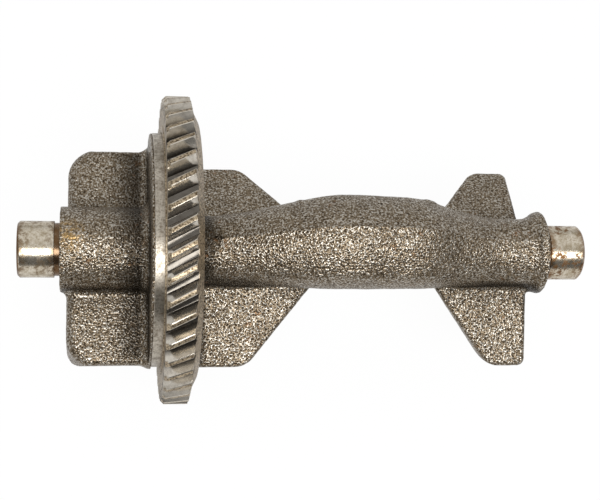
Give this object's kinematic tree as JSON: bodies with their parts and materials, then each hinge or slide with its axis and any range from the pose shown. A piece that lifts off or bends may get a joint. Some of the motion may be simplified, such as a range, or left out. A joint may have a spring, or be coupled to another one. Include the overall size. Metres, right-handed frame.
{
  "type": "balance shaft",
  "caption": "Cast engine balance shaft with turned journals, a front block weight, a bowed beam, sector weights and a helical ring gear shrunk on its seat.",
  "frame": {"origin": "on the shaft's axis, at the middle of the front journal's length", "axes": "+X along the shaft from the front journal to the rear journal, -Z towards the heavy side of the weights, Y across"},
  "size_m": [0.1638, 0.0876, 0.0876],
  "materials": {
    "cast_shaft": "as-cast skin with ground journals and a turned gear seat",
    "gear_steel": "hobbed and hardened steel with tan tooth lands"
  },
  "bodies": {
    "root": {"balance_shaft": "cast_shaft", "ring_gear": "gear_steel"}
  },
  "joints": []
}
